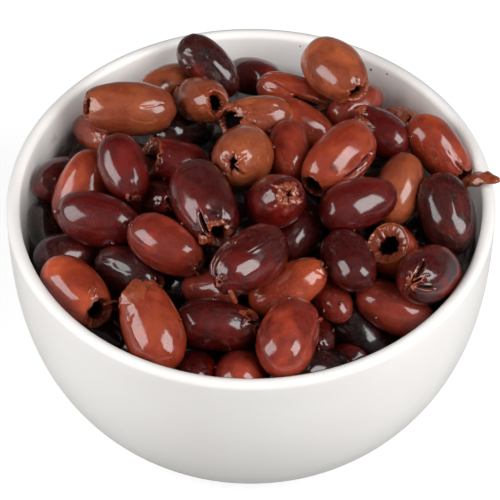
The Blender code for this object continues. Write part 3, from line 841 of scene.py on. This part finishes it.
def skinPatternTree():
    # colour, roughness, relief and wetness of an olive's skin, in the olive's own space
    inputs = {
        "Place": ("Vector", None),
        "Tone": ("Color", (0.2, 0.03, 0.01, 1)),
        "Stain": ("Color", (0.1, 0.01, 0.01, 1)),
        "Flesh": ("Color", (0.34, 0.062, 0.019, 1)),
        "Marks": ("Color", (0, 0, 0, 1)),
        "Bruise": ("Float", 0.0),
        "Stain Spread": ("Float", 0.5),
        "Mottle": ("Float", 0.5),
        "Pits": ("Float", 0.3),
        "Bloom": ("Float", 0.2),
        "Sheen Roughness": ("Float", 0.26),
    }
    outputs = {
        "Base Color": "Color",
        "Roughness": "Float",
        "Relief": "Float",
        "Wetness": "Float",
    }
    tree, enter, leave = newTree("olive skin pattern", "ShaderNodeTree", inputs, outputs)
    place = enter["Place"]
    fleshy, sunk, powdered = addNode(tree, "ShaderNodeSeparateColor", {0: enter["Marks"]}).outputs
    drift = addNoise(tree, place, 95, 2, 0.5)
    spread = addMath(tree, "SUBTRACT", 0.72, addTimes(tree, enter["Stain Spread"], 0.4))
    stained = addRange(tree, drift, addMath(tree, "SUBTRACT", spread, 0.16), spread)
    colour = addMix(tree, stained, enter["Tone"], enter["Stain"])
    mottle = addNoise(tree, place, 480, 4, 0.62)
    shaded = addMix(tree, enter["Mottle"], (1, 1, 1, 1), addRange(tree, mottle, 0.32, 0.68, 0.62, 1.3))
    colour = addMix(tree, 1.0, colour, shaded, "MULTIPLY")
    pit = addTimes(tree, addNoiseRange(tree, place, (1500, 2, 0.6), (0.36, 0.3)), enter["Pits"])
    colour = addMix(tree, pit, colour, (0.006, 0.003, 0.003, 1))
    fleck = addTimes(tree, addNoiseRange(tree, place, (1900, 1), (0.7, 0.74)), enter["Pits"])
    colour = addMix(tree, addTimes(tree, fleck, 0.5), colour, (0.4, 0.16, 0.12, 1))
    film = addSum(tree, addTimes(tree, enter["Bloom"], 0.45), powdered)
    film = addTimes(tree, film, addNoiseRange(tree, place, (260, 5, 0.65), (0.34, 0.66)), True)
    colour = addMix(tree, addTimes(tree, film, 0.35), colour, (0.11, 0.045, 0.042, 1))
    streaks = addNode(tree, "ShaderNodeMapping", {"Vector": place, "Scale": (1, 1, 0.12)}).outputs[0]
    streak = addNoiseRange(tree, streaks, (700, 3), (0.35, 0.65, 0.55, 1.0))
    colour = addMix(tree, addTimes(tree, enter["Bruise"], streak, True), colour, (0.012, 0.008, 0.009, 1))
    pulpNoise = addNoise(tree, place, 800, 4, 0.65)
    # painted shade: the flesh in a hollow gets darker the deeper it lies
    fleshShadedByDepth = addMix(tree, addRange(tree, sunk, 0.05, 0.28), enter["Flesh"], (0.17, 0.02, 0.007, 1))
    shadow = addMix(tree, 0.7, fleshShadedByDepth, (0.03, 0.003, 0.002, 1))
    pulp = addMix(tree, addRange(tree, pulpNoise, 0.24, 0.54), shadow, fleshShadedByDepth)
    edge = addRange(tree, addSum(tree, fleshy, addRange(tree, pulpNoise, 0.3, 0.7, -0.22, 0.22)), 0.38, 0.62)
    colour = addMix(tree, edge, colour, pulp)
    # painted shade: the bottom of a hollow goes near black
    hollowShade = addRange(tree, sunk, 0.26, 0.44)
    colour = addMix(tree, hollowShade, colour, (0.004, 0.0008, 0.0005, 1))
    tree.links.new(colour, leave["Base Color"])
    rough = addSum(tree, enter["Sheen Roughness"], addRange(tree, mottle, 0.3, 0.7, -0.05, 0.07))
    for share, amount in ((film, 0.22), (edge, 0.06)):
        rough = addSum(tree, rough, addTimes(tree, share, amount))
    tree.links.new(addSum(tree, rough, addTimes(tree, hollowShade, 0.6), True), leave["Roughness"])
    grain = addNoise(tree, place, 900, 3, 0.6)
    relief = addTimes(tree, addNoise(tree, place, 330, 2), 1.2)
    relief = addSum(tree, relief, addTimes(tree, grain, addRange(tree, enter["Pits"], 0, 1, 0.6, 1.1)))
    relief = addSum(tree, relief, addTimes(tree, addNoise(tree, place, 2600, 2, 0.7), 0.8))
    relief = addSum(tree, relief, addTimes(tree, addTimes(tree, pulpNoise, edge), 1.6))
    tree.links.new(relief, leave["Relief"])
    wet = addMath(tree, "SUBTRACT", 1.0, addTimes(tree, film, 0.6), True)
    wet = addTimes(tree, wet, addMath(tree, "SUBTRACT", 1.0, hollowShade))
    tree.links.new(wet, leave["Wetness"])
    return tree


# how far the stain spreads, how strong mottling, pits and grey bloom are, and how rough the sheen is
finishNames = ("Stain Spread", "Mottle", "Pits", "Bloom", "Sheen Roughness")
skinFinishes = {
    "tan": (0.35, 0.35, 0.12, 0.0, 0.21),
    "orange": (0.4, 0.4, 0.12, 0.0, 0.2),
    "brick": (0.45, 0.45, 0.16, 0.0, 0.2),
    "red": (0.5, 0.5, 0.2, 0.03, 0.2),
    "maroon": (0.55, 0.55, 0.24, 0.06, 0.21),
    "plum": (0.6, 0.9, 0.8, 0.04, 0.27),
    "black": (0.6, 0.6, 0.4, 0.0, 0.25),
}


def wearSkin(tree, shader, skin, relief, finish):
    # the pattern's colour, roughness and relief (strength and distance) on the shader, and its plain values
    patterned = {name: skin.outputs[name] for name in ("Base Color", "Roughness")}
    setInputs(tree, shader, {**patterned, "Normal": addBump(tree, skin.outputs["Relief"], *relief), **finish})


def skinMaterial(kind, pattern):
    material, tree, shader = newMaterial(kind + "OliveSkin")
    marks = addAttribute(tree, "oliveMarks")
    skin = addNode(tree, "ShaderNodeGroup", settings={"node_tree": pattern})
    setInputs(tree, skin, {
        **dict(zip(finishNames, skinFinishes[kind])),
        "Stain": (*skinTones[kind][1], 1),
        "Place": addAttribute(tree, "oliveSpace")["Vector"],
        "Marks": marks["Color"],
        "Bruise": marks["Alpha"],
        "Tone": addAttribute(tree, "oliveTone")["Color"],
    })
    wearSkin(tree, shader, skin, (0.8, 0.0005), {
        "IOR": 1.45,
        "Specular IOR Level": 0.22,
        "Coat Weight": skin.outputs["Wetness"],
        "Coat Roughness": 0.15,
        "Coat IOR": 1.58,
        "Subsurface Weight": 0.12,
        "Subsurface Radius": (1.0, 0.25, 0.12),
        "Subsurface Scale": 0.0015,
    })
    return material


def shadeTone(kind, number):
    # the main tone of one olive, lighter or darker than others of its kind
    main, stain = np.array(skinTones[kind])
    shade = shades.get(number, 1.0)
    return (main * min(shade, 1) + stain * max(1 - shade, 0) * 0.5) * max(shade, 1)


def makeOlives():
    rng = np.random.default_rng(54)
    rows = list(oliveRows)
    for step in range(lowRing["count"]):
        turn = lowRing["from"] + lowRing["step"] * step
        place = atTurn(turn, lowRing["radius"], lowRing["lift"])
        skin = "black" if step % 2 else "maroon"
        rows.append((*place, turn + 90, 0, lowRing["length"], lowRing["width"], "whole", skin, 0.4))
    rimMiddle = np.array([0, 0, bowl["height"]])
    shapes, spaces, marks, owners, bodies = [], [], [], [], []

    def addShape(shape, space, mark, number):
        shapes.append(shape)
        spaces.append(space)
        marks.append(mark)
        owners.append(number)

    for number, row in enumerate(rows, start=1):
        local, mark = oliveShape(row, number, rng)
        lay = layOlive(row[3], row[4])
        middle = np.array(row[:3]) * mm + rimMiddle
        addShape(local @ lay.T + middle, local + 0.05 * number, mark, number)
        bodies.append((middle, lay, row[5] * mm / 2, row[6] * mm / 2))
    squeezeOlives(shapes, bodies)
    shapes[:] = [keepInside(shape) for shape in shapes]
    for number, sheets in flaps.items():
        row, (middle, lay) = rows[number - 1], bodies[number - 1][:2]
        for root, tip, bulge, width, thickness, fleshy in sheets:
            root, tip = onOlive(row, *root), onOlive(row, *tip)
            outward = (root + tip) * np.array([1, 1, 0])
            outward *= bulge * row[6] * mm / 2 / np.linalg.norm(outward)
            outward += 1e-6
            local, mark = flapShape(root, tip, outward, width * mm, thickness * mm, fleshy, number)
            addShape(keepInside(local @ lay.T + middle), local + 0.05 * number, mark, number)
    root, tip = (np.array(atTurn(*plug[end])) * mm + rimMiddle for end in ("root", "tip"))
    arch = np.array([0, 0, plug["arch"] * mm])
    local, mark = flapShape(root, tip, arch, plug["width"] * mm, plug["thickness"] * mm, 1.0, 5)
    addShape(local, local, mark, plug["olive"])
    pattern = skinPatternTree()
    for kind in skinTones:
        chosen = [index for index, number in enumerate(owners) if rows[number - 1][8] == kind]
        piece = joinGrids(kind + "Olives", [shapes[index] for index in chosen])
        flatMarks = [flattenRings(marks[index]) for index in chosen]
        flatSpaces = [flattenRings(spaces[index]) for index in chosen]
        tones = [[*shadeTone(kind, owners[index]), 1] for index in chosen]
        tones = np.repeat(tones, [len(part) for part in flatMarks], axis=0)
        storeValues(piece.data, "oliveTone", "FLOAT_COLOR", tones)
        storeValues(piece.data, "oliveMarks", "FLOAT_COLOR", np.concatenate(flatMarks))
        storeValues(piece.data, "oliveSpace", "FLOAT_VECTOR", np.concatenate(flatSpaces))
        piece.data.materials.append(skinMaterial(kind, pattern))
        finishPiece(piece, "olives")
        print(piece.name, len(chosen), "shapes")
    return pattern, bodies


# brine that stays where olives touch, and drops on the inner wall

brine = {
    "bead": 0.55 * mm,  # radius of a bead where olives touch
    "smallest": 0.6,
    "largest": 1.4,
    "seed": 12,
    # drops on the wall: turn round the bowl (degrees), height above the rim and radius (mm)
    "drops": [(77, -3, 0.28), (52, -2.5, 0.25), (57, -4, 0.3), (100, -5, 0.22)],
}


def touchPlaces(bodies):
    # where two olives meet, seen from above: a little above the middle of the seam between them
    places = []
    for index, (middle, lay, halfLength, halfWidth) in enumerate(bodies):
        for neighbour in bodies[index + 1:]:
            if np.linalg.norm(middle - neighbour[0]) > halfLength + neighbour[2]:
                continue
            steps = np.linspace(0.05, 0.95, 31)[:, None]
            line = middle + (neighbour[0] - middle) * steps
            own = insideness(line, bodies[index])
            other = insideness(line, neighbour)
            meet = int(np.argmin(np.maximum(own, other)))
            if max(own[meet], other[meet]) > 1.04:
                continue
            seam = line[meet]
            rise = np.linspace(0, 9 * mm, 40)[:, None]
            above = seam + rise * np.array([0, -0.45, 0.89])
            free = (insideness(above, bodies[index]) > 1.02) & (insideness(above, neighbour) > 1.02)
            if free.any():
                places.append(above[int(np.argmax(free))])
    return np.array(places)


def beadTree():
    # a bead of brine on each point, of varied size
    inputs = {
        "Places": ("Geometry", None),
        "Bead Radius": ("Float", 0.0005),
        "Smallest": ("Float", 0.5),
        "Largest": ("Float", 1.5),
        "Seed": ("Int", 1),
        "Brine": ("Material", None),
    }
    tree, enter, leave = newShapeTree("beads of brine", inputs)
    ball = addNode(tree, "GeometryNodeMeshIcoSphere", {"Radius": enter["Bead Radius"], "Subdivisions": 3})
    smooth = addNode(tree, "GeometryNodeSetShadeSmooth", {0: ball.outputs[0]}).outputs[0]
    limits = {"Min": enter["Smallest"], "Max": enter["Largest"], "Seed": enter["Seed"]}
    wide = addNode(tree, "FunctionNodeRandomValue", limits, {"data_type": "FLOAT_VECTOR"}).outputs[0]
    own = addNode(tree, "GeometryNodeInputNamedAttribute", {"Name": "beadSize"}, {"data_type": "FLOAT"})
    sized = {0: wide, "Scale": own.outputs[0]}
    scale = addNode(tree, "ShaderNodeVectorMath", sized, {"operation": "SCALE"}).outputs[0]
    beads = {"Points": enter["Places"], "Instance": smooth, "Scale": scale}
    placed = addNode(tree, "GeometryNodeInstanceOnPoints", beads).outputs[0]
    return leaveTree(tree, placed, enter["Brine"], leave)


def brineMaterial():
    material, tree, shader = newMaterial("brine")
    place = addNode(tree, "ShaderNodeTexCoord").outputs["Object"]
    cloud = addNoiseRange(tree, place, (900, 3, 0.6), (0.35, 0.65))
    setInputs(tree, shader, {
        "Base Color": addMix(tree, cloud, (0.06, 0.008, 0.004, 1), (0.14, 0.022, 0.01, 1)),
        "Roughness": addNoiseRange(tree, place, (1800, 2), (0.3, 0.7, 0.04, 0.16)),
        "Normal": addBump(tree, cloud, 0.5, 0.0002),
        "Coat Weight": 1.0,
        "Coat Roughness": 0.03,
    })
    return material


def makeBrine(bodies):
    places = list(touchPlaces(bodies))
    sizes = [1.0] * len(places)
    for turn, lift, radius in brine["drops"]:
        height = bowl["height"] + lift * mm
        places.append(atTurn(turn, float(innerRadius(height)) - radius * mm * 0.2, height))
        sizes.append(radius * mm / brine["bead"])
    piece = newPiece("brineBeads", np.array(places).tolist(), [])
    piece.data.attributes.new("beadSize", "FLOAT", "POINT").data.foreach_set("value", sizes)
    values = {"Bead Radius": brine["bead"], "Smallest": brine["smallest"], "Largest": brine["largest"]}
    growPiece(piece, beadTree(), {**values, "Seed": brine["seed"], "Brine": brineMaterial()})
    finishPiece(piece, "olives")
    print("brine beads", len(places))


# the hidden olives under those that show, and below them a near-black core as painted shade in the gaps

heapBed = {
    "top": -16,  # height of the lower olives' middles above the rim at the bowl's axis (mm)
    "fall": 16,
    "reach": 57,  # how far from the axis (mm)
    "spacing": 12.5,
    "density": 40000,  # places tried on each square metre, before those too close together are dropped
    "seed": 7,
    "length": 21,
    "width": 13,
    "rings": 12,
    "columns": 48,
}
core = {"top": -21, "fall": 15, "rings": 46, "segments": 120, "relief": 1.6}


def bedTree():
    inputs = {
        "Bed": ("Geometry", None),
        "Spacing": ("Float", 0.0125),
        "Olive Length": ("Float", 0.021),
        "Olive Width": ("Float", 0.013),
        "Seed": ("Int", 1),
        "Skin": ("Material", None),
    }
    tree, enter, leave = newShapeTree("lower olives", inputs)
    bed = {"Mesh": enter["Bed"], "Distance Min": enter["Spacing"], "Seed": enter["Seed"]}
    bed["Density Max"] = heapBed["density"]
    spread = addNode(tree, "GeometryNodeDistributePointsOnFaces", bed, {"distribute_method": "POISSON"})
    ball = addNode(tree, "GeometryNodeMeshUVSphere", {"Segments": 28, "Rings": 18, "Radius": 0.5}).outputs[0]
    sides = {0: enter["Olive Width"], 1: enter["Olive Width"], 2: enter["Olive Length"]}
    size = addNode(tree, "ShaderNodeCombineXYZ", sides).outputs[0]
    stretched = addNode(tree, "GeometryNodeTransform", {"Geometry": ball, "Scale": size}).outputs[0]
    smooth = addNode(tree, "GeometryNodeSetShadeSmooth", {0: stretched}).outputs[0]
    turns = {"Min": (1.2, -0.4, 0), "Max": (1.9, 0.4, 6.28), "Seed": enter["Seed"]}
    turned = addNode(tree, "FunctionNodeRandomValue", turns, {"data_type": "FLOAT_VECTOR"}).outputs[0]
    sizes = {2: 0.85, 3: 1.1, "Seed": enter["Seed"]}
    sized = addNode(tree, "FunctionNodeRandomValue", sizes, {"data_type": "FLOAT"}).outputs[1]
    copies = {"Points": spread.outputs["Points"], "Instance": smooth, "Rotation": turned, "Scale": sized}
    placed = addNode(tree, "GeometryNodeInstanceOnPoints", copies).outputs[0]
    return leaveTree(tree, placed, enter["Skin"], leave)


def darkSkin(name, pattern, tone, stain):
    material, tree, shader = newMaterial(name)
    skin = addNode(tree, "ShaderNodeGroup", settings={"node_tree": pattern})
    place = addNode(tree, "ShaderNodeTexCoord").outputs["Object"]
    setInputs(tree, skin, {"Place": place, "Tone": (*tone, 1), "Stain": (*stain, 1), "Bloom": 0.15})
    coat = {"Coat Weight": 0.25, "Coat Roughness": 0.12, "Coat IOR": 1.33}
    wearSkin(tree, shader, skin, (0.5, 0.0003), {**coat, "IOR": 1.33})
    return material


def makeLowerOlives(pattern):
    rings, columns = heapBed["rings"], heapBed["columns"]
    verts = []
    for ring in range(rings + 1):
        away = heapBed["reach"] * mm * ring / rings
        level = heapBed["top"] - heapBed["fall"] * (ring / rings) ** 2
        for column in range(columns):
            turn = math.tau * column / columns
            verts.append((away * math.cos(turn), away * math.sin(turn), bowl["height"] + level * mm))
    piece = newPiece("lowerOlives", verts, ringFaces(0, rings + 1, columns))
    values = {
        "Spacing": heapBed["spacing"] * mm,
        "Olive Length": heapBed["length"] * mm,
        "Olive Width": heapBed["width"] * mm,
        "Seed": heapBed["seed"],
        "Skin": darkSkin("lowerOliveSkin", pattern, (0.03, 0.005, 0.0045), (0.01, 0.003, 0.003)),
    }
    growPiece(piece, bedTree(), values)
    piece.data.vertices.foreach_set("co", keepInside(meshPlaces(piece.data)).ravel())
    piece.data.update()
    finishPiece(piece, "olives")
    print("lower olives", len(piece.data.polygons), "faces")


def makeCore(pattern):
    turns = ringTurns(core["segments"])
    edgeHeight = bowl["height"] + (core["top"] - core["fall"]) * mm
    edge = float(innerRadius(edgeHeight)) - 2 * olives["wallGap"]
    rings = []
    for step in np.linspace(0, 1, core["rings"]):
        away = edge * step
        level = bowl["height"] + (core["top"] - core["fall"] * step ** 2) * mm
        flat = ringPoints(turns, away, level)
        relief = latticeNoise(flat * 260, 3) + 0.5 * latticeNoise(flat * 700, 4)
        flat[:, 2] += core["relief"] * mm * relief * smoothStep(1.0, 0.9, step)
        rings.append(flat)
    for step in np.linspace(0, 90, 14)[1:]:
        height = edgeHeight - (edgeHeight - bowl["floor"]) * math.sin(math.radians(step))
        rings.append(ringPoints(turns, float(innerRadius(height)), height))
    rings.reverse()
    grid = keepInside(np.array(rings))
    piece = joinGrids("oliveCore", [grid])
    # painted shade: the core is near black so the gaps between the olives read dark
    pulp = darkSkin("paintedShadeCore", pattern, (0.012, 0.0028, 0.0025), (0.005, 0.0015, 0.0015))
    piece.data.materials.append(pulp)
    finishPiece(piece, "olives")


# Floor, lights and camera. The lights whose names start with bowl light the bowl alone.

photo = {"riseToRim": 47.27, "tilt": 48.31, "distance": 0.843, "lens": 212, "aside": -0.25 * mm}
boxLights = {
    "left": dict(direction=(-0.86, -0.23, 0.46), away=0.95, width=0.7, height=0.7, watts=7.7),
    "right": dict(direction=(0.68, -0.38, 0.63), away=0.95, width=0.62, height=0.76, watts=9.6),
    "back": dict(direction=(0.1, 1.0, 0.24), away=1.3, width=2.4, height=0.55, watts=0.45),
    "fill": dict(direction=(0.0, -0.86, 0.5), away=1.2, width=1.4, height=0.6, watts=1.5),
    "bowlFront": dict(direction=(0.0, -0.78, 0.62), away=1.2, width=0.8, height=0.5, watts=2.7),
    "bowlLeft": dict(direction=(-1.0, -0.25, -0.02), away=1.2, width=0.6, height=0.08, watts=3.4),
    "bowlRight": dict(direction=(1.0, -0.25, -0.02), away=1.2, width=0.6, height=0.08, watts=4.3),
    "bowlBack": dict(direction=(0, -1.0, 0.3), away=0.075, width=0.1, height=0.02, watts=0.022),
}
backWall = Vector((0, 68, 64)) * mm  # what the bowlBack light is turned to
stage = {"floorHalf": 3, "floorTone": (0.35, 0.35, 0.35, 1), "floorGlow": 0.75, "sky": 0.09}


def makeStage(bowlPiece):
    half = stage["floorHalf"]
    corners = [(-half, -half, 0), (half, -half, 0), (half, half, 0), (-half, half, 0)]
    floor = newPiece("floor", corners, [(0, 1, 2, 3)])
    material, tree, shader = newMaterial("paleFloor")
    seen = addNode(tree, "ShaderNodeLightPath").outputs["Is Camera Ray"]
    setInputs(tree, shader, {
        "Base Color": stage["floorTone"],
        "Roughness": 0.9,
        "Emission Color": (1, 1, 1, 1),
        "Emission Strength": addTimes(tree, seen, stage["floorGlow"]),
    })
    floor.data.materials.append(material)
    world = bpy.data.worlds.new("studio")
    world.use_nodes = True
    sky = {"Color": (1, 1, 1, 1), "Strength": stage["sky"]}
    setInputs(world.node_tree, world.node_tree.nodes["Background"], sky)
    world.cycles_visibility.glossy = False
    bpy.context.scene.world = world
    aim = Vector((0, 0, bowl["height"]))
    for name, box in boxLights.items():
        light = bpy.data.lights.new(name + "Box", "AREA")
        light.shape = "RECTANGLE"
        light.size = box["width"]
        light.size_y = box["height"]
        light.energy = box["watts"]
        holder = bpy.data.objects.new(name + "Box", light)
        bpy.context.scene.collection.objects.link(holder)
        direction = Vector(box["direction"]).normalized()
        holder.location = (backWall if name == "bowlBack" else aim) + direction * box["away"]
        holder.visible_camera = False
        holder.rotation_euler = direction.to_track_quat("Z", "Y").to_euler()
        onlyBowl = name.startswith("bowl")
        holder.visible_glossy = name != "fill" and not onlyBowl
        if onlyBowl:
            lit = bpy.data.collections.new(name + "Lit")
            lit.objects.link(bowlPiece)
            holder.light_linking.receiver_collection = lit
            holder.light_linking.blocker_collection = lit


def makeCamera():
    camera = bpy.data.cameras.new("photoCamera")
    camera.lens = photo["lens"]
    camera.sensor_width = 36
    camera.clip_start = 0.01
    holder = bpy.data.objects.new("photoCamera", camera)
    bpy.context.scene.collection.objects.link(holder)
    rise = math.radians(photo["riseToRim"])
    back = photo["distance"] * math.cos(rise)
    holder.location = (photo["aside"], -back, bowl["height"] + photo["distance"] * math.sin(rise))
    holder.rotation_euler = (math.radians(90 - photo["tilt"]), 0, 0)
    bpy.context.scene.camera = holder


bpy.context.scene.view_settings.view_transform = "Standard"
makeCamera()
makeStage(makeBowl())
print("bowl made")
pattern, bodies = makeOlives()
makeBrine(bodies[:len(oliveRows)])
makeLowerOlives(pattern)
makeCore(pattern)
print("heap made")
